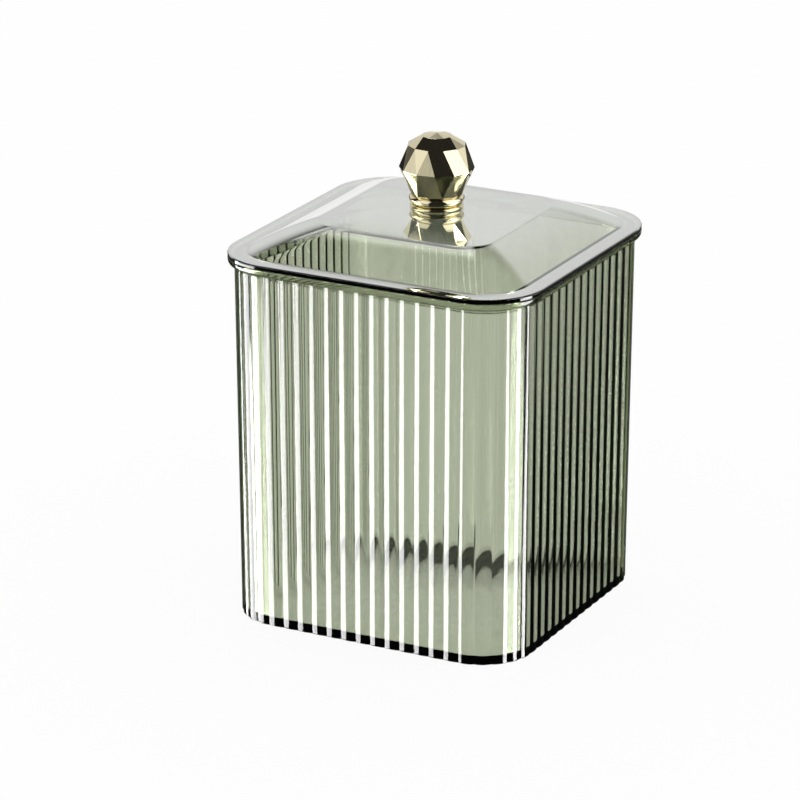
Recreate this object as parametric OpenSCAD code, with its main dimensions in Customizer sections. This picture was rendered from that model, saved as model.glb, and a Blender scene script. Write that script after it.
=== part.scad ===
// Square reeded jar for cotton swabs, with a domed lid that lifts off by a faceted knob.
// The origin is the middle of the jar's underside, with +Z up. Lengths are in millimetres.

/* [Jar] */
// Width across the flat rim of the jar and the lid
rim_w = 80; // [70:1:120]
// Radius of the rim's corners, seen from above
rim_r = 14.7; // [10:0.1:20]
// Height of the jar to the top of its rim
jar_h = 88.8; // [50:0.1:140]
// Thickness of the jar's rim
rim_t = 1.8; // [1:0.1:4]
// How far the rim stands out past the reeds
rim_overhang = 1.55; // [1:0.05:3]
// How much narrower each side of the jar is at the foot than at the rim
wall_draft = 0.65; // [0.2:0.05:1.5]
// Thickness of the jar's wall, measured in the grooves between reeds
wall_t = 1.9; // [1.2:0.1:3]
// Thickness of the jar's floor
floor_t = 2.3; // [1.5:0.1:5]

/* [Reeds] */
// Number of reeds along each side, from corner middle to corner middle
reeds_per_side = 18; // [9:1:25]
// Height of a reed above the grooves beside it
reed_depth = 0.3; // [0.2:0.05:0.9]
// Flats that make up the round of one reed
reed_flats = 4; // [3:1:6]

/* [Foot] */
// Width of the flat ring that the jar stands on
foot_ring_w = 5.1; // [3:0.1:8]
// Depth of the recess inside the foot ring
foot_recess = 0.5; // [0.2:0.1:1]

/* [Lid] */
// Thickness of the lid's flat flange
flange_t = 1.2; // [0.8:0.1:3]
// Width of the flat flange, outside the dome
flange_w = 4; // [3:0.1:6]
// Thickness of the dome
dome_t = 2; // [1.4:0.1:3]
// Height of the dome's crest above the flange
crest_h = 6; // [4:0.1:12]
// Distance from the dome's foot in to its crest
slope_w = 13.6; // [8:0.1:18]
// Radius of the crest's corners
crest_r = 7; // [4:0.1:10]
// Rise of the gently crowned top above the crest
crown_h = 1.2; // [0.6:0.1:3]
// Angle that the slope's arc bends away from its chord, at each end
slope_bend = 7.2; // [2:0.1:12]
// Depth of the skirt that plugs the jar's mouth
skirt_h = 3; // [2:0.1:8]
// Room under the skirt before the jar's hollow gets narrower
skirt_room = 1; // [0.5:0.1:3]
// Thickness of the skirt
skirt_t = 1.7; // [1.2:0.1:3]
// Gap between the skirt and the jar's mouth, on each side
lid_gap = 0.35; // [0.2:0.05:0.8]

/* [Knob] */
// Width of the faceted ball across its girdle
ball_w = 17.8; // [12:0.1:26]
// Number of facets round the ball
ball_sides = 12; // [8:1:16]
// Height of the girdle above the ball's foot
ball_low_h = 6.4; // [4:0.1:9]
// Height of the ball's point above its girdle
ball_top_h = 8.3; // [5:0.1:12]
// Width of the ball at its foot
ball_foot_w = 12.2; // [9:0.1:14]
// Width of the ring where the upper facets meet, as a share of the ball's width
upper_w_share = 0.776; // [0.6:0.002:0.9]
// Height of that ring, as a share of the height above the girdle
upper_h_share = 0.675; // [0.5:0.005:0.8]
// Width of the ring round the ball's point, as a share of the ball's width
tip_w_share = 0.404; // [0.2:0.002:0.5]
// Height of that ring, as a share of the height above the girdle
tip_h_share = 0.928; // [0.85:0.002:0.97]
// Turn of the knob about its screw, in degrees
knob_turn = -5.5; // [-180:0.5:180]
// Width of the round collar under the ball
collar_w = 13.2; // [11:0.1:18]
// Height of the collar, from the lid to the foot of the ball
collar_h = 3.3; // [2:0.1:6]
// Width of the neck between the collar's beads
neck_w = 11; // [8:0.1:14]
// Radius of the collar's bead, as a share of the collar's height
bead_share = 0.32; // [0.2:0.01:0.4]
// Radius of the thin bead on the lid, as a share of the collar's height
lip_share = 0.14; // [0.08:0.01:0.2]

/* [Screw] */
// Diameter of the screw that holds the knob
screw_d = 4; // [3:0.1:5]
// Clearance all round the screw in the lid
screw_gap = 0.2; // [0.1:0.05:0.4]
// Clearance all round the screw in the knob
thread_gap = 0.05; // [0.02:0.01:0.1]
// Width of the screw's head
head_w = 8; // [6:0.1:10]
// Height of the screw's head
head_h = 2.4; // [1.6:0.1:3]
// Radius of the head's round, as a share of its width
head_round_share = 0.62; // [0.55:0.01:1]
// Width of the cross recess, as a share of the head's width
slot_w_share = 0.14; // [0.1:0.01:0.2]
// Length of the cross recess, as a share of the head's width
slot_l_share = 0.6; // [0.4:0.05:0.7]
// Depth of the cross recess, as a share of the head's height
slot_h_share = 0.6; // [0.4:0.05:0.7]
// Length of the screw's shank inside the knob
shank_in_knob = 7; // [4:0.5:9]

/* [Hidden] */
plastic = [0.63, 0.67, 0.55];
plating = [0.78, 0.72, 0.52];
steel = [0.72, 0.73, 0.74];
round_fn = 96;
hole_fn = 48;
bead_fn = 32;
corner_steps = 12;

// Length by which a cut runs past the face that it opens
over = 1;

// Jar: half widths, corner radii and levels
reed_top_half = rim_w / 2 - rim_overhang;
reed_foot_half = reed_top_half - wall_draft;
jar_r = rim_r - rim_overhang;
groove = reed_depth + wall_t;
mouth_half = reed_top_half - groove;
mouth_r = jar_r - groove;
hollow_half = mouth_half - wall_draft / 2;
recess_half = reed_foot_half - foot_ring_w;
under_rim_z = jar_h - rim_t;
mouth_z = jar_h - skirt_h - skirt_room;
reed_count = 4 * reeds_per_side;

// Lid: levels and the arc of its slope
flange_z = jar_h;
lid_top_z = flange_z + flange_t;
dome_half = rim_w / 2 - flange_w;
dome_r_gain = 0.6;
dome_r = rim_r - flange_w + dome_r_gain;
skirt_half = mouth_half - lid_gap;
skirt_r = mouth_r - lid_gap;
slope_steps = 6;
flange_edge = 0.25;
slope_chord = sqrt(slope_w * slope_w + crest_h * crest_h);
slope_angle = atan2(crest_h, slope_w);
slope_arc_r = slope_chord / (2 * sin(slope_bend));
crest_half = dome_half - slope_w;
seat_margin = 0.6;
seat_half = collar_w / 2 + seat_margin;
seat_squareness = 0.95;
crown_steps = [0.35, 0.7];

// Knob and screw: levels above the lid
seat_z = lid_top_z + crest_h + crown_h;
screw_top_z = seat_z + shank_in_knob;
under_seat_z = seat_z - dome_t;
tip_point_share = 0.02;
collar_joint = 0.4;

// Closed skin through a list of rings that all have the same number of points
module loft(rings) {
    n = len(rings[0]);
    last = len(rings) - 1;
    sides = [for (k = [0:last - 1], i = [0:n - 1])
        let (j = (i + 1) % n)
        each [[k * n + i, (k + 1) * n + j, k * n + j], [k * n + i, (k + 1) * n + i, (k + 1) * n + j]]];
    first_face = [for (i = [0:n - 1]) i];
    last_face = [for (i = [0:n - 1]) last * n + n - 1 - i];
    polyhedron(points = [for (ring = rings) each ring], faces = concat([first_face], sides, [last_face]));
}

// Point and outward angle on a rounded square, at distance s round it from the middle of a side
function quarter_len(half, r) = 2 * (half - r) + PI * r / 2;
function corner_spot(u, half, r) =
    let (flat = half - r, arc = PI * r / 2)
    u < flat ? [half, u, 0]
    : u < flat + arc ? let (a = (u - flat) / r * 180 / PI) [flat + r * cos(a), flat + r * sin(a), a]
    : [2 * flat + arc - u, half, 90];
function turned(p, a) = [p[0] * cos(a) - p[1] * sin(a), p[0] * sin(a) + p[1] * cos(a), p[2] + a];
function spot(s, half, r) =
    let (q = floor(s / quarter_len(half, r)))
    turned(corner_spot(s - q * quarter_len(half, r), half, r), 90 * q);

// Height of a reed's round at t, which runs from -1 in one groove to 1 in the next
function reed_height(t, pitch, depth) =
    let (r = depth / 2 + pitch * pitch / (8 * depth)) sqrt(r * r - pow(pitch * t / 2, 2)) - (r - depth);

// Outline of the reeded wall; half is measured over the reeds
function reeded_outline(half, r, depth) =
    let (groove_half = half - depth, groove_r = r - depth,
        pitch = 4 * quarter_len(groove_half, groove_r) / reed_count)
    [for (i = [0:reed_count - 1], k = [0:reed_flats - 1])
        let (t = 2 * k / reed_flats - 1,
            p = spot((i + (t + 1) / 2) * pitch + pitch / 2, groove_half, groove_r),
            out = reed_height(t, pitch, depth))
        [p[0] + out * cos(p[2]), p[1] + out * sin(p[2])]];

// Plain rounded square, and the same at one level
function smooth_outline(half, r) =
    [for (q = [0:3], k = [0:corner_steps])
        let (a = 90 * k / corner_steps, p = turned([half - r + r * cos(a), half - r + r * sin(a), 0], 90 * q))
        [p[0], p[1]]];
function smooth_ring(half, r, z) = [for (p = smooth_outline(half, r)) [p[0], p[1], z]];

// Outline of a faceted ball at one level
function ball_ring(r, z, turn) =
    [for (i = [0:ball_sides - 1]) let (a = (i + turn) * 360 / ball_sides) [r * cos(a), r * sin(a), z]];

// Slope of the dome: how far in and how high it is at t, from 0 at the foot to 1 at the crest
function slope_at(t) =
    let (a = slope_bend * (1 - 2 * t),
        along = slope_arc_r * (sin(slope_bend) - sin(a)),
        out = slope_arc_r * (cos(a) - cos(slope_bend)))
    [along * cos(slope_angle) - out * sin(slope_angle), along * sin(slope_angle) + out * cos(slope_angle)];

// Rings up the dome from its foot to the knob's seat; inset is the depth below the outer skin
function dome_rings(inset) = concat(
    [for (k = [0:slope_steps])
        let (t = k / slope_steps, s = slope_at(t), lean = slope_angle + slope_bend * (1 - 2 * t),
            half = dome_half - s[0] - inset * sin(lean),
            r = dome_r + (crest_r - dome_r) * t - inset * sin(lean))
        smooth_ring(half, r, lid_top_z + s[1] - inset * cos(lean))],
    [for (t = crown_steps)
        smooth_ring(crest_half + (seat_half - crest_half) * t, crest_r,
            lid_top_z + crest_h + crown_h * t * (2 - t) - inset)],
    [smooth_ring(seat_half, seat_half * seat_squareness, seat_z - inset)]);

module jar() {
    color(plastic, 0.6)
    difference() {
        union() {
            // Reeded wall, which widens upwards and reaches into the rim
            linear_extrude(height = under_rim_z + rim_t / 2, scale = reed_top_half / reed_foot_half)
                polygon([for (p = reeded_outline(reed_top_half, jar_r, reed_depth))
                    p * reed_foot_half / reed_top_half]);
            // Rim
            translate([0, 0, under_rim_z]) linear_extrude(height = rim_t)
                polygon(smooth_outline(rim_w / 2, rim_r));
        }
        // Hollow that the swabs stand in
        translate([0, 0, floor_t]) linear_extrude(height = jar_h - floor_t + over)
            polygon(smooth_outline(hollow_half, mouth_r - wall_draft / 2));
        // Straight mouth that takes the lid's skirt
        translate([0, 0, mouth_z]) linear_extrude(height = jar_h - mouth_z + over)
            polygon(smooth_outline(mouth_half, mouth_r));
        // Recess inside the foot ring
        translate([0, 0, -over]) linear_extrude(height = over + foot_recess)
            polygon(smooth_outline(recess_half, jar_r - foot_ring_w));
    }
}

module lid() {
    under = dome_rings(dome_t);
    color(plastic, 0.6)
    difference() {
        loft(concat(
            [for (k = [len(under) - 1:-1:0]) under[k]],
            [smooth_ring(skirt_half - skirt_t, skirt_r - skirt_t, flange_z),
            smooth_ring(skirt_half - skirt_t, skirt_r - skirt_t, flange_z - skirt_h),
            smooth_ring(skirt_half, skirt_r, flange_z - skirt_h),
            smooth_ring(skirt_half, skirt_r, flange_z),
            smooth_ring(rim_w / 2, rim_r, flange_z),
            smooth_ring(rim_w / 2, rim_r, lid_top_z - flange_edge),
            smooth_ring(rim_w / 2 - flange_edge, rim_r - flange_edge, lid_top_z)],
            dome_rings(0)));
        // Hole for the knob's screw
        translate([0, 0, under_seat_z - over])
            cylinder(d = screw_d + 2 * screw_gap, h = dome_t + 2 * over, $fn = hole_fn);
    }
}

// Round collar under the ball: a bead, a neck and a thin lower bead, on a flat seat
module collar() {
    bead_r = collar_h * bead_share;
    low_r = collar_h * lip_share;
    rotate_extrude($fn = round_fn) {
        square([neck_w / 2, collar_h + collar_joint]);
        translate([collar_w / 2 - bead_r, collar_h - bead_r]) circle(r = bead_r, $fn = bead_fn);
        translate([0, collar_h - 2 * bead_r]) square([collar_w / 2 - bead_r, 2 * bead_r]);
        translate([collar_w / 2 - 1.5 * low_r, low_r]) circle(r = low_r, $fn = bead_fn);
        square([collar_w / 2 - 1.5 * low_r, 2 * low_r]);
    }
}

module knob() {
    color(plating)
    translate([0, 0, seat_z])
    difference() {
        union() {
            collar();
            translate([0, 0, collar_h]) rotate(knob_turn)
                loft([
                    ball_ring(ball_foot_w / 2, 0, 0.5),
                    ball_ring(ball_w / 2, ball_low_h, 0),
                    ball_ring(ball_w / 2 * upper_w_share, ball_low_h + ball_top_h * upper_h_share, 0.5),
                    ball_ring(ball_w / 2 * tip_w_share, ball_low_h + ball_top_h * tip_h_share, 0),
                    ball_ring(ball_w / 2 * tip_point_share, ball_low_h + ball_top_h, 0)]);
        }
        // Threaded hole for the screw, from below
        translate([0, 0, -over])
            cylinder(d = screw_d + 2 * thread_gap, h = shank_in_knob + 2 * over, $fn = hole_fn);
    }
}

module knob_screw() {
    slot_w = head_w * slot_w_share;
    slot_l = head_w * slot_l_share;
    slot_h = head_h * slot_h_share;
    head_round = head_w * head_round_share;
    color(steel)
    difference() {
        union() {
            translate([0, 0, under_seat_z - head_h]) rotate_extrude($fn = round_fn)
                intersection() {
                    translate([0, head_round]) circle(r = head_round, $fn = round_fn);
                    square([head_w / 2, head_h]);
                }
            translate([0, 0, under_seat_z - head_h / 2])
                cylinder(d = screw_d, h = screw_top_z - under_seat_z + head_h / 2, $fn = hole_fn);
        }
        // Cross-shaped drive recess
        for (a = [0, 90])
            translate([0, 0, under_seat_z - head_h - over]) rotate(a)
                translate([-slot_l / 2, -slot_w / 2, 0]) cube([slot_l, slot_w, slot_h + over]);
    }
}

jar();
lid();
knob();
knob_screw();
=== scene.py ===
# %% [markdown]
# # A reeded jar for cotton swabs
# This lesson dresses the CAD model of a square, lidded jar so that it looks like the real product.
# The jar and its lid are smoke-green clear plastic, and the knob is a plated, faceted ball.
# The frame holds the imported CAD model. Nothing in it is moved: new meshes take the place of plain ones.

# %% Load the frame
import bpy
import math
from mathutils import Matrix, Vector


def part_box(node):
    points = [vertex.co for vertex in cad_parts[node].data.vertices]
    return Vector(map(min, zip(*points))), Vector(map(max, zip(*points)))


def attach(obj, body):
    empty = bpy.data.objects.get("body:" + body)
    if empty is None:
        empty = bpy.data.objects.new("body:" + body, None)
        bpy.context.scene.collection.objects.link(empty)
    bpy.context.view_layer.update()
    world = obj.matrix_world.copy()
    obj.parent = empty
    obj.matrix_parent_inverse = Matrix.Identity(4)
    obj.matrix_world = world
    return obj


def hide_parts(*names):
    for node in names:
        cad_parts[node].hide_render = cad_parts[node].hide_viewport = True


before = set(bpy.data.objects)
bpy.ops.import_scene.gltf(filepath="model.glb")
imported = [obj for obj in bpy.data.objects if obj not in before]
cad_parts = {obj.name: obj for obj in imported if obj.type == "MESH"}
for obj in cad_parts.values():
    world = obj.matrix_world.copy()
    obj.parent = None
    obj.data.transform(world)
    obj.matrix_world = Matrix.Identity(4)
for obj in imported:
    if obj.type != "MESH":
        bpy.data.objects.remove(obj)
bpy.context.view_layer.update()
MM = 0.001

# %% [markdown]
# ## The camera
# The photograph was taken with a long lens from a little above, past the jar's right front corner.
# The camera's place was worked out from the corners of the rim and the foot, so it is given here as a real
# position. A long lens keeps the upright edges almost parallel, as they are on a product page.

# %% Camera
CAMERA_PLACE = Vector((448.9, -882.3, 399.0)) * MM
CAMERA_AIM = Vector((-9.7, 0.0, 47.4)) * MM
LENS_MM, SENSOR_MM = 198.25, 36.0

camera = bpy.data.objects.new("studio_camera", bpy.data.cameras.new("studio_camera"))
bpy.context.collection.objects.link(camera)
camera.location = CAMERA_PLACE
camera.rotation_euler = (CAMERA_AIM - CAMERA_PLACE).to_track_quat("-Z", "Y").to_euler()
camera.data.lens, camera.data.sensor_width = LENS_MM, SENSOR_MM
bpy.context.scene.camera = camera
bpy.context.scene.view_settings.view_transform = "Standard"
print("camera stands", round((CAMERA_AIM - CAMERA_PLACE).length, 3), "m away")

# %% [markdown]
# ## Shader maths that reads like maths
# Node trees are slow to read when every sum is a node made by hand. A small class holds one socket, and its
# operators add the Math nodes, so that 1 - mask or waves * 0.3 can be written as they are. Every other node
# comes from one method, which sets the node's own options first and its sockets after.

# %% A socket that can be added and multiplied
class Wire:
    def __init__(self, tree, socket):
        self.tree, self.socket = tree, socket

    def maths(self, operation, first, second):
        values = {0: first, 1: second}
        return add_node(self.tree, "ShaderNodeMath", {"operation": operation}, values)["Value"]

    def __add__(self, other): return self.maths("ADD", self, other)
    def __radd__(self, other): return self.maths("ADD", other, self)
    def __sub__(self, other): return self.maths("SUBTRACT", self, other)
    def __rsub__(self, other): return self.maths("SUBTRACT", other, self)
    def __mul__(self, other): return self.maths("MULTIPLY", self, other)
    def __rmul__(self, other): return self.maths("MULTIPLY", other, self)
    def __truediv__(self, other): return self.maths("DIVIDE", self, other)
    def __rtruediv__(self, other): return self.maths("DIVIDE", other, self)
    def __pow__(self, other): return self.maths("POWER", self, other)
    def __rpow__(self, other): return self.maths("POWER", other, self)

    def above(self, low, high):
        """0 below low, 1 above high, and a soft step between them."""
        settings = {"interpolation_type": "SMOOTHSTEP"}
        values = {"Value": self, "From Min": low, "From Max": high}
        return add_node(self.tree, "ShaderNodeMapRange", settings, values)["Result"]


class Outputs:
    """Outputs of one node, each given as a Wire by its name or its place."""
    def __init__(self, tree, node):
        self.tree, self.node = tree, node

    def __getitem__(self, name):
        return Wire(self.tree, self.node.outputs[name])


# %% Any other node
def add_node(tree, kind, settings=None, sockets=None):
    node = tree.nodes.new(kind)
    for name, value in (settings or {}).items():
        setattr(node, name, value)
    for name, value in (sockets or {}).items():
        if isinstance(value, Wire):
            tree.links.new(value.socket, node.inputs[name])
        else:
            node.inputs[name].default_value = value
    return Outputs(tree, node)


# %% [markdown]
# Two kinds of mixing come back often. A Mix Shader node has its factor first and then the two shaders. The
# Mix node has sockets for numbers, vectors and colours, so a colour is reached by its place, not by its name.

# %% Mixing, and an empty material
def mix_shaders(tree, factor, first, second):
    """Shader that is the second one where factor is 1."""
    return add_node(tree, "ShaderNodeMixShader", None, {0: factor, 1: first, 2: second})["Shader"]


def mix_colours(tree, factor, first, second):
    """Colour that is the second one where factor is 1."""
    values = {"Factor": factor, 6: first, 7: second}
    return add_node(tree, "ShaderNodeMix", {"data_type": "RGBA"}, values)[2]


def new_material(name):
    material = bpy.data.materials.new(name)
    material.use_nodes = True
    material.node_tree.nodes.clear()
    print("material", name)
    return material, material.node_tree


WHITE = (1, 1, 1, 1)

# %% [markdown]
# ## The studio
# A clear object shows what stands round it, so the room matters as much as the plastic. Clear goods are
# photographed in front of white, with black card and narrow lamps at the sides: the white comes straight
# through the walls, and the card and the lamps show only where the plastic or the metal mirrors them. The
# ray itself tells which case it is. A ray that was mirrored at least once has a Glossy Depth of one or more,
# and only such rays see the dark room and its panels. All others see the plain white backdrop.

# %% Where a ray goes
NEVER_ZERO = 0.000001

world = bpy.data.worlds.new("studio")
world.use_nodes = True
bpy.context.scene.world = world
sky = world.node_tree
sky.nodes.clear()
ray = add_node(sky, "ShaderNodeTexCoord")["Generated"]
toward = add_node(sky, "ShaderNodeSeparateXYZ", None, {"Vector": ray})
level_length = (toward["X"] ** 2.0 + toward["Y"] ** 2.0 + NEVER_ZERO) ** 0.5
elevation = toward["Z"].maths("ARCTAN2", toward["Z"], level_length)
print("a ray's height above the horizon takes", len(sky.nodes), "nodes")

# %% [markdown]
# Each panel is a patch of the sky. Its turn is counted from the camera, so 0 is at the camera's back, 180 is
# behind the jar, and a positive turn lies at the right. Upright walls are seen from above and mirror what
# lies under the horizon. That is why the lamps for the reeds hang low and the ones for the lid hang high.

# %% One light panel
CAMERA_AZIMUTH = -63.0


def panel(turn, width, low, high, strength, soft=2.0):
    """Strength of a panel with its middle, width, heights and soft edge in degrees."""
    middle, half, edge = math.radians(CAMERA_AZIMUTH + turn), math.radians(width / 2), math.radians(soft)
    facing = (toward["X"] * math.cos(middle) + toward["Y"] * math.sin(middle)) / level_length
    across = facing.above(math.cos(half + edge), math.cos(max(half - edge, 0.0)))
    upward = elevation.above(math.radians(low - soft), math.radians(low + soft))
    downward = elevation.above(math.radians(high - soft), math.radians(high + soft))
    return across * upward * (1.0 - downward) * strength


# %% Panels of the dark room
ROOM_DARK = 0.02
TABLE_GLOW, TABLE_FADES, TABLE_FULL = 0.35, -50, -62

panels = [
    # Pale backdrop behind the jar, in a narrow strip below the horizon and wide above it.
    panel(turn=180, width=22, low=-60, high=0, strength=0.9, soft=4.0),
    panel(turn=180, width=110, low=0, high=36, strength=0.72, soft=6.0),
    # Small lamp behind and above, for the fine line along the lid's crest.
    panel(turn=189, width=26, low=40, high=50, strength=2.6),
    # Low lamps at the left and the right, for the stripes on the reeds.
    panel(turn=-94, width=50, low=-36, high=-6, strength=11.0),
    panel(turn=79, width=26, low=-36, high=-6, strength=14.0),
    # Soft cards at both sides, for the light facets of the knob.
    panel(turn=-65, width=60, low=2, high=60, strength=1.0, soft=5.0),
    panel(turn=78, width=70, low=2, high=60, strength=1.7, soft=5.0),
    # The pale table, seen when looking steeply down.
    (1.0 - elevation.above(math.radians(TABLE_FULL), math.radians(TABLE_FADES))) * TABLE_GLOW,
]
room = ROOM_DARK
for light in panels:
    room = light + room
print("the dark room has", len(panels), "panels")

# %% World
mirrored = add_node(sky, "ShaderNodeLightPath")["Glossy Depth"].above(0.0, 1.0)
strength = (1.0 - mirrored) + mirrored * room
background = add_node(sky, "ShaderNodeBackground", None, {"Color": WHITE, "Strength": strength})
add_node(sky, "ShaderNodeOutputWorld", None, {"Surface": background["Background"]})
print("the world has", len(sky.nodes), "nodes")

# %% [markdown]
# The floor has to take the object's shadow and still be as white as the backdrop. It is matt paint with a
# share of plain white glow, which only the camera and the rays through the plastic see. Mirrored rays pass
# it, because the dark room goes on below the horizon.

# %% Floor
FLOOR_SIZE = 6.0
FLOOR_DROP = 0.1 * MM
FLOOR_WHITE = (0.9, 0.9, 0.9, 1)
FLOOR_GLOW_SHARE = 0.92

bpy.ops.mesh.primitive_plane_add(size=FLOOR_SIZE, location=(0, 0, -FLOOR_DROP))
floor = bpy.context.object
floor.name = "studio_floor"
floor_material, tree = new_material("studio_floor")
path = add_node(tree, "ShaderNodeLightPath")
seen = path["Is Camera Ray"] + path["Is Transmission Ray"]
matt = add_node(tree, "ShaderNodeBsdfDiffuse", None, {"Color": FLOOR_WHITE})["BSDF"]
glow = add_node(tree, "ShaderNodeEmission", None, {"Color": WHITE, "Strength": 1.0})["Emission"]
paint = mix_shaders(tree, seen * FLOOR_GLOW_SHARE, matt, glow)
clear = add_node(tree, "ShaderNodeBsdfTransparent")["BSDF"]
surface = mix_shaders(tree, path["Glossy Depth"].above(0.0, 1.0), paint, clear)
add_node(tree, "ShaderNodeOutputMaterial", None, {"Surface": surface})
floor.data.materials.append(floor_material)
print("floor is", FLOOR_SIZE, "m wide")

# %% [markdown]
# ## Smoke-green clear plastic
# Styrene of this kind is clear like glass. Its colour comes from the way that light travels in it: two
# millimetres of wall are pale green, and the rim, where light runs along the plastic, is almost black. A
# plain green surface would have one tone everywhere, so the colour is put in the volume, which soaks up
# light with every millimetre. The surface adds what moulding leaves: low waves and faint upright streaks.

# %% Plastic sizes and colours
PLASTIC_IOR = 1.55
ABSORB_COLOUR = (0.392, 0.468, 0.212, 1)
ABSORB_PER_METRE = 250.0
WAVES_PER_METRE, WAVE_DETAIL = 60.0, 2.0
STREAKS_ACROSS, STREAKS_ALONG, STREAK_DETAIL = 420.0, 6.0, 3.0
STREAK_LOW, STREAK_HIGH, STREAK_SHARE = 0.3, 0.7, 0.14
STREAK_TINT = (0.45, 0.5, 0.4, 1)
MIRROR_WHITE = (0.96, 0.97, 0.95, 1)
GLANCE_LOW, GLANCE_HIGH = 0.44, 0.66
print("light left after 2 mm of plastic, by colour:",
      [round(math.exp(-2 * MM * ABSORB_PER_METRE * (1 - c)), 2) for c in ABSORB_COLOUR[:3]])

# %% Clear plastic
def clear_plastic(name, wave_height, polish=0.0):
    """polish is how much of a plain mirror the surface gains where it is seen at a glancing angle."""
    material, tree = new_material(name)
    place = add_node(tree, "ShaderNodeTexCoord")["Object"]
    waves = add_node(tree, "ShaderNodeTexNoise", None, {
        "Vector": place, "Scale": WAVES_PER_METRE, "Detail": WAVE_DETAIL})["Fac"]
    bump = add_node(tree, "ShaderNodeBump", None, {
        "Height": waves, "Strength": 1.0, "Distance": wave_height})["Normal"]
    stretched = add_node(tree, "ShaderNodeMapping", None, {
        "Vector": place, "Scale": (STREAKS_ACROSS, STREAKS_ACROSS, STREAKS_ALONG)})["Vector"]
    streaks = add_node(tree, "ShaderNodeTexNoise", None, {
        "Vector": stretched, "Scale": 1.0, "Detail": STREAK_DETAIL})["Fac"]
    tint = mix_colours(tree, streaks.above(STREAK_LOW, STREAK_HIGH) * STREAK_SHARE, WHITE, STREAK_TINT)
    surface = add_node(tree, "ShaderNodeBsdfPrincipled", None, {
        "Base Color": tint, "Roughness": 0.0, "IOR": PLASTIC_IOR, "Transmission Weight": 1.0,
        "Normal": bump})["BSDF"]
    if polish:
        mirror = add_node(tree, "ShaderNodeBsdfPrincipled", None, {
            "Base Color": MIRROR_WHITE, "Metallic": 1.0, "Roughness": 0.0, "Normal": bump})["BSDF"]
        facing = add_node(tree, "ShaderNodeLayerWeight", None, {"Blend": 0.5})["Facing"]
        surface = mix_shaders(tree, facing.above(GLANCE_LOW, GLANCE_HIGH) * polish, surface, mirror)
    soak = add_node(tree, "ShaderNodeVolumeAbsorption", None, {
        "Color": ABSORB_COLOUR, "Density": ABSORB_PER_METRE})["Volume"]
    add_node(tree, "ShaderNodeOutputMaterial", None, {"Surface": surface, "Volume": soak})
    return material


# %% [markdown]
# The lid comes out of a polished mould and lies almost flat under the lens, so it mirrors the pale backdrop
# and the knob far more than the walls do. The jar's walls are a little more wavy.

# %% The jar's and the lid's plastic
JAR_WAVES, LID_WAVES = 0.02 * MM, 0.01 * MM
LID_POLISH = 0.75

jar_plastic = clear_plastic("jar_plastic", JAR_WAVES)
lid_plastic = clear_plastic("lid_plastic", LID_WAVES, polish=LID_POLISH)

# %% [markdown]
# ## Plated metal
# The knob is cast and plated in a pale champagne tone, and is bright like a mirror. A perfect mirror looks
# false, so a fine grain makes the roughness uneven and lifts the surface by thousandths of a millimetre.

# %% Plating
GRAIN_PER_METRE, GRAIN_DETAIL, GRAIN_HEIGHT = 900.0, 3.0, 0.004 * MM
SMOOTHEST, GRAIN_ROUGHNESS = 0.03, 0.05
CHAMPAGNE = (0.82, 0.74, 0.5, 1)
ZINC = (0.62, 0.63, 0.64, 1)


def plated(name, colour):
    material, tree = new_material(name)
    place = add_node(tree, "ShaderNodeTexCoord")["Object"]
    grain = add_node(tree, "ShaderNodeTexNoise", None, {
        "Vector": place, "Scale": GRAIN_PER_METRE, "Detail": GRAIN_DETAIL})["Fac"]
    peel = add_node(tree, "ShaderNodeBump", None, {
        "Height": grain, "Strength": 1.0, "Distance": GRAIN_HEIGHT})["Normal"]
    body = add_node(tree, "ShaderNodeBsdfPrincipled", None, {
        "Base Color": colour, "Metallic": 1.0, "Roughness": SMOOTHEST + grain * GRAIN_ROUGHNESS,
        "Normal": peel})
    add_node(tree, "ShaderNodeOutputMaterial", None, {"Surface": body["BSDF"]})
    return material


champagne = plated("champagne_plating", CHAMPAGNE)
screw_metal = plated("screw_metal", ZINC)

# %% [markdown]
# ## Outlines and skins
# The jar and the lid are both moulded round a square with round corners. Each is built as a skin over a
# stack of outlines that all have the same number of points, which keeps the mesh clean. Modelling the reeds
# one by one and joining them would leave seams, and seams show in clear plastic.

# %% Walk round a rounded square
def spot(distance, half, radius):
    """Point and outward angle at a distance round a rounded square, from the middle of its +X side."""
    flat, arc = half - radius, math.pi * radius / 2
    quarter, along = divmod(distance, 2 * flat + arc)
    if along < flat:
        x, y, angle = half, along, 0.0
    elif along < flat + arc:
        angle = (along - flat) / radius
        x, y = flat + radius * math.cos(angle), flat + radius * math.sin(angle)
    else:
        x, y, angle = 2 * flat + arc - along, half, math.pi / 2
    turn = quarter * math.pi / 2
    return (x * math.cos(turn) - y * math.sin(turn), x * math.sin(turn) + y * math.cos(turn), angle + turn)


def length_round(half, radius):
    return 8 * (half - radius) + 2 * math.pi * radius


# %% [markdown]
# A reed's front is a shallow arc. Its curve follows from the reed's width and depth, and each point is moved
# out along the wall's own direction, so the reeds fan out round the corners as they do on the real jar.

# %% Outlines, with or without reeds
REEDS = 72
STEPS = 12


def outline(half, radius, z, depth=0.0, count=REEDS * STEPS):
    """Outline at height z, in mm. half and radius are measured over the reeds."""
    half, radius = half - depth, radius - depth
    pitch = length_round(half, radius) / REEDS
    curve = depth / 2 + pitch * pitch / (8 * depth) if depth else 0.0
    points = []
    for k in range(count):
        share = k / count * REEDS
        x, y, angle = spot((share + 0.5) * pitch, half, radius)
        t = 2 * (share % 1.0) - 1
        out = math.sqrt(curve * curve - (pitch * t / 2) ** 2) - (curve - depth) if depth else 0.0
        points.append(((x + out * math.cos(angle)) * MM, (y + out * math.sin(angle)) * MM, z * MM))
    return points


print("a reeded outline has", REEDS * STEPS, "points")

# %% Skin over a stack of outlines
SKIN_CREASE, LID_CREASE = math.radians(30), math.radians(20)


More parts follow.
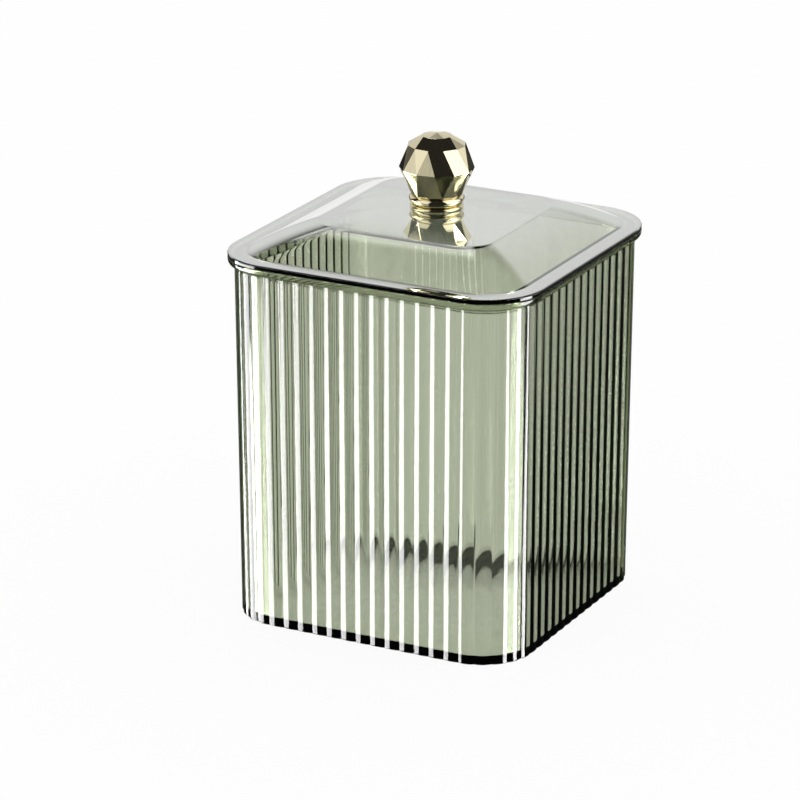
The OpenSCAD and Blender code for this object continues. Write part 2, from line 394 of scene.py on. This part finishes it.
def skin(name, rings, crease=SKIN_CREASE):
    """Closed mesh through rings of equal length, with a flat cap on the first and the last."""
    n = len(rings[0])
    points = [p for ring in rings for p in ring]
    faces = [tuple(reversed(range(n))), tuple((len(rings) - 1) * n + i for i in range(n))]
    for k in range(len(rings) - 1):
        for i in range(n):
            j = (i + 1) % n
            faces.append((k * n + i, k * n + j, (k + 1) * n + j, (k + 1) * n + i))
    mesh = bpy.data.meshes.new(name)
    mesh.from_pydata(points, [], faces)
    mesh.validate()
    mesh.shade_smooth()
    mesh.set_sharp_from_angle(angle=crease)
    piece = bpy.data.objects.new(name, mesh)
    bpy.context.collection.objects.link(piece)
    print(name, "has", len(mesh.polygons), "faces")
    return piece


# %% [markdown]
# ## The jar
# Outside, narrow convex reeds run from the foot to a cove under the rim. Inside, the wall is smooth, which
# makes each reed work as a lens. The rim stands out all round and carries the lid. The overall sizes come
# from the frame, and the wall draws in by a fraction of a millimetre towards the foot, as a moulding does.

# %% Jar sizes, in mm
RIM_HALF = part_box("jar")[1].x / MM
JAR_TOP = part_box("jar")[1].z / MM
RIM_RADIUS, RIM_THICK = 14.7, 1.8
REED_HALF, REED_RADIUS, REED_DEPTH = 38.45, 13.15, 0.32
DRAFT = 0.65
WALL = 2.2
FLOOR_TOP = 1.9
RING_HALF, RING_RADIUS = 33.0, 8.9
RECESS_HALF, RECESS_RADIUS, RECESS_DEPTH = 21.0, 5.0, 0.5
print("rim is", round(2 * RIM_HALF, 1), "mm wide and", round(JAR_TOP, 1), "mm above the table")

# %% [markdown]
# Every edge that the light can catch is a small curve. One list of even steps round a quarter circle serves
# for all of them: the foot, the cove under the rim, the rim's lower round, its top edge and the inner floor.

# %% Jar edges, in mm, and the steps round each
FOOT_EDGE, FOOT_STEPS = 0.25, 4
COVE, COVE_STEPS = 0.25, 3
RIM_ROUND, RIM_STEPS = 1.15, 6
RIM_EDGE, EDGE_STEPS = 0.2, 3
INNER_CURVE, INNER_STEPS = 0.1, 5
LEAD_IN, LEAD_IN_STEEP = 0.4, 1.2
MOUTH_DEPTH = 4.0


def arc_steps(count):
    """Pairs that turn from (0, 1) to (1, 0) in even angles: how far along and how much is left."""
    turns = [k / count * math.pi / 2 for k in range(count + 1)]
    return [(math.sin(turn), math.cos(turn)) for turn in turns]


# %% The outside, from the recess under the jar to the rim's top edge
def outer_rings():
    foot = REED_HALF - DRAFT
    under = JAR_TOP - RIM_THICK
    rings = [outline(RECESS_HALF, RECESS_RADIUS, RECESS_DEPTH), outline(RING_HALF, RING_RADIUS, 0.0)]
    for along, left in arc_steps(FOOT_STEPS):
        inset = FOOT_EDGE * (1 - along)
        rings.append(outline(foot - inset, REED_RADIUS - inset, FOOT_EDGE * (1 - left), REED_DEPTH))
    rings.append(outline(REED_HALF, REED_RADIUS, under - COVE, REED_DEPTH))
    for along, left in arc_steps(COVE_STEPS)[1:]:
        outset = COVE * (1 - left)
        z = under - COVE * (1 - along)
        rings.append(outline(REED_HALF + outset, REED_RADIUS + outset, z, REED_DEPTH * left))
    for along, left in arc_steps(RIM_STEPS):
        inset = RIM_ROUND * (1 - along)
        rings.append(outline(RIM_HALF - inset, RIM_RADIUS - inset, under + RIM_ROUND * (1 - left)))
    for along, left in arc_steps(EDGE_STEPS):
        inset = RIM_EDGE * (1 - left)
        rings.append(outline(RIM_HALF - inset, RIM_RADIUS - inset, JAR_TOP - RIM_EDGE * (1 - along)))
    return rings


# %% The inside, from the mouth down to the floor
def inner_rings():
    mouth, radius = REED_HALF - WALL, REED_RADIUS - WALL
    rings = [outline(mouth + LEAD_IN, radius + LEAD_IN, JAR_TOP),
             outline(mouth, radius, JAR_TOP - LEAD_IN_STEEP * LEAD_IN),
             outline(mouth, radius, JAR_TOP - MOUTH_DEPTH)]
    for along, left in arc_steps(INNER_STEPS):
        inset = INNER_CURVE * (1 - left)
        z = FLOOR_TOP + INNER_CURVE * (1 - along)
        rings.append(outline(mouth - DRAFT - inset, radius - inset, z))
    return rings


# %% Jar mesh
jar = skin("jar_body", outer_rings() + inner_rings())
jar.data.materials.append(jar_plastic)
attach(jar, "jar")
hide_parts("jar")

# %% [markdown]
# ## The lid
# The flat flange lies on the jar's rim. Inside it the dome rises in a curve to a crease and then crowns
# gently to the knob. A skirt below reaches into the jar's mouth and keeps the lid in place. It is one wall of
# even thickness, so the inside is the outside's profile, moved inwards along its own slope.

# %% Lid sizes, in mm
FLANGE_THICK = 1.2
LID_TOP = JAR_TOP + FLANGE_THICK
DOME_HALF, DOME_RADIUS = 36.0, 11.3
CREST_RISE, CREST_IN, CREST_RADIUS = 6.0, 13.6, 7.0
CROWN_RISE, CROWN_TILT = 1.2, math.radians(6.0)
DOME_THICK = 2.0
SEAT_HALF, SEAT_SQUARENESS = 7.2, 0.95
SLOPE_BEND = math.radians(7.2)
SLOPE_STEPS, CROWN_STEPS, LID_POINTS = 16, 8, 480
print("the lid's crown is", round(LID_TOP + CREST_RISE + CROWN_RISE, 1), "mm above the table")

# %% [markdown]
# The crest catches a fine bright line. Two extra outlines lie close to it, one on each side, so that the
# shading turns within half a millimetre and the slopes next to it stay calm.

# %% Dome profile
BEFORE_CREST, AFTER_CREST = 0.985, 0.02


def slope_profile():
    """Points up the slope as half width, corner radius, height and the slope's angle there."""
    lean = math.atan2(CREST_RISE, CREST_IN)
    curve = math.hypot(CREST_IN, CREST_RISE) / (2 * math.sin(SLOPE_BEND))
    profile = []
    for t in [k / SLOPE_STEPS for k in range(SLOPE_STEPS)] + [BEFORE_CREST, 1.0]:
        bend = SLOPE_BEND * (1 - 2 * t)
        along = curve * (math.sin(SLOPE_BEND) - math.sin(bend))
        out = curve * (math.cos(bend) - math.cos(SLOPE_BEND))
        inward = along * math.cos(lean) - out * math.sin(lean)
        rise = along * math.sin(lean) + out * math.cos(lean)
        radius = DOME_RADIUS + (CREST_RADIUS - DOME_RADIUS) * t
        profile.append((DOME_HALF - inward, radius, LID_TOP + rise, lean + bend))
    return profile


def crown_profile():
    """Points from the crest to the knob's seat, in the same form."""
    crest_half = DOME_HALF - CREST_IN
    profile = []
    for t in [AFTER_CREST] + [k / CROWN_STEPS for k in range(1, CROWN_STEPS + 1)]:
        half = crest_half + (SEAT_HALF - crest_half) * t
        z = LID_TOP + CREST_RISE + CROWN_RISE * t * (2 - t)
        profile.append((half, min(CREST_RADIUS, half * SEAT_SQUARENESS), z, CROWN_TILT * (1 - t)))
    return profile


# %% Skirt and flange, in mm
SKIRT_HALF, SKIRT_RADIUS, SKIRT_THICK, SKIRT_DEPTH = 35.9, 10.6, 1.7, 3.0
FLANGE_LOW = JAR_TOP + 0.05
LOW_CHAMFER = 0.2
TOP_EDGE, TOP_EDGE_MIDDLE = 0.3, 0.1


def lid_ring(half, radius, z):
    return outline(half, radius, z, count=LID_POINTS)


def skirt_and_flange():
    inside, inside_radius = SKIRT_HALF - SKIRT_THICK, SKIRT_RADIUS - SKIRT_THICK
    low, edge = JAR_TOP - SKIRT_DEPTH, TOP_EDGE_MIDDLE
    return [
        lid_ring(inside, inside_radius, JAR_TOP), lid_ring(inside, inside_radius, low),
        lid_ring(SKIRT_HALF, SKIRT_RADIUS, low), lid_ring(SKIRT_HALF, SKIRT_RADIUS, FLANGE_LOW),
        lid_ring(RIM_HALF - LOW_CHAMFER, RIM_RADIUS - LOW_CHAMFER, FLANGE_LOW),
        lid_ring(RIM_HALF, RIM_RADIUS, FLANGE_LOW + LOW_CHAMFER),
        lid_ring(RIM_HALF, RIM_RADIUS, LID_TOP - TOP_EDGE),
        lid_ring(RIM_HALF - edge, RIM_RADIUS - edge, LID_TOP - edge),
        lid_ring(RIM_HALF - TOP_EDGE, RIM_RADIUS - TOP_EDGE, LID_TOP)]


# %% Lid mesh
def lid_rings():
    profile = slope_profile() + crown_profile()
    inner = []
    for half, radius, z, angle in reversed(profile):
        sideways = DOME_THICK * math.sin(angle)
        inner.append(lid_ring(half - sideways, radius - sideways, z - DOME_THICK * math.cos(angle)))
    outer = [lid_ring(half, radius, z) for half, radius, z, angle in profile]
    return inner + skirt_and_flange() + outer


lid = skin("lid_dome", lid_rings(), crease=LID_CREASE)
lid.data.materials.append(lid_plastic)
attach(lid, "lid")
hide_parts("lid")

# %% [markdown]
# ## The knob
# The ball is cut in rows of flat facets, widest at its middle, with a low point on top. Flat facets flash one
# after the other, so they are real faces and not a bump. The edges are barely softened, because plating
# rounds them a little and each then carries a thin line of light. It stands on a round collar.

# %% Knob sizes, in mm
SEAT_Z = LID_TOP + CREST_RISE + CROWN_RISE
BALL_FOOT = SEAT_Z + 3.3
BALL_SIDES = 12
KNOB_TURN = math.radians(-5.5)
HALF_TURN = 0.5
FOOT_LEVEL = (6.1, 0.0, HALF_TURN)
MIDDLE_LEVEL = (8.9, 6.4, 0.0)
SHOULDER_LEVEL = (6.9, 12.0, HALF_TURN)
CROWN_LEVEL = (3.6, 14.1, 0.0)
TIP_LEVEL = (0.18, 14.7, 0.0)
BALL_LEVELS = [FOOT_LEVEL, MIDDLE_LEVEL, SHOULDER_LEVEL, CROWN_LEVEL, TIP_LEVEL]
print("the ball is", 2 * MIDDLE_LEVEL[0], "mm wide and", TIP_LEVEL[1], "mm high")

# %% Faceted ball
def ball_ring(radius, height, shift):
    """Corners of one level, turned by a share of a side."""
    turns = [KNOB_TURN + (i + shift) * math.tau / BALL_SIDES for i in range(BALL_SIDES)]
    return [(radius * MM * math.cos(turn), radius * MM * math.sin(turn), (BALL_FOOT + height) * MM)
            for turn in turns]


def faceted_ball():
    """Points and faces of the ball: triangles between turned levels, and flat panels between equal ones."""
    n = BALL_SIDES
    points = [p for level in BALL_LEVELS for p in ball_ring(*level)]
    faces = [tuple(reversed(range(n))), tuple((len(BALL_LEVELS) - 1) * n + i for i in range(n))]
    shifts = [shift for radius, height, shift in BALL_LEVELS]
    for k in range(len(BALL_LEVELS) - 1):
        for i in range(n):
            j = (i + 1) % n
            a, b, c, d = k * n + i, k * n + j, (k + 1) * n + i, (k + 1) * n + j
            if shifts[k] == shifts[k + 1]:
                faces.append((a, b, d, c))
            elif shifts[k] > shifts[k + 1]:
                faces += [(a, d, c), (a, b, d)]
            else:
                faces += [(a, b, c), (b, d, c)]
    return points, faces


# %% Ball mesh with softened edges
EDGE_SOFT, EDGE_SEGMENTS, EDGE_ANGLE = 0.13 * MM, 2, math.radians(5)

points, faces = faceted_ball()
ball_mesh = bpy.data.meshes.new("knob_ball")
ball_mesh.from_pydata(points, [], faces)
ball = bpy.data.objects.new("knob_ball", ball_mesh)
bpy.context.collection.objects.link(ball)
softened = ball.modifiers.new("softened_edges", "BEVEL")
softened.width, softened.segments = EDGE_SOFT, EDGE_SEGMENTS
softened.limit_method, softened.angle_limit = "ANGLE", EDGE_ANGLE
ball.data.materials.append(champagne)
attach(ball, "lid")
print("the ball has", len(faces), "facets")

# %% [markdown]
# The collar is turned: a thin bead lies on the lid, and a fuller one above it carries the ball. It is made as
# a round skin over a short profile, like wood on a lathe.

# %% Collar sizes, in mm above the lid
CORE_RADIUS, CORE_START, CORE_WAIST = 5.5, 0.02, 1.05
NECK_RADIUS, NECK_TOP = 5.0, 3.5
COLLAR_SIDES, BEAD_STEPS = 96, 8


def turned(name, profile):
    """Round solid from a list of (radius, height) in mm, closed at both ends."""
    turns = [i * math.tau / COLLAR_SIDES for i in range(COLLAR_SIDES)]
    return skin(name, [[(r * MM * math.cos(a), r * MM * math.sin(a), z * MM) for a in turns]
                       for r, z in profile])


def bead(radius, height, size, reach):
    """Round bead, by its middle's radius and height, its size and its reach up and down in degrees."""
    angles = [math.radians(reach * (2 * k / BEAD_STEPS - 1)) for k in range(BEAD_STEPS + 1)]
    return [(radius + size * math.cos(a), SEAT_Z + height + size * math.sin(a)) for a in angles]


# %% Collar mesh
profile = [(CORE_RADIUS, SEAT_Z + CORE_START)]
profile += bead(radius=5.9, height=0.48, size=0.46, reach=90)
profile += [(CORE_RADIUS, SEAT_Z + CORE_WAIST)]
profile += bead(radius=5.55, height=2.2, size=1.05, reach=80)
profile += [(NECK_RADIUS, SEAT_Z + NECK_TOP)]
collar = turned("knob_collar", profile)
collar.data.materials.append(champagne)
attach(collar, "lid")
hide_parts("knob")

# %% [markdown]
# ## The screw
# A screw from below holds the knob. It is a plain zinc-plated part and hardly seen, so the CAD model's own
# mesh stays and only takes the metal.

# %% Screw
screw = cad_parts["knob_screw"]
screw.data.materials.clear()
screw.data.materials.append(screw_metal)
print("the screw has", len(screw.data.polygons), "faces")
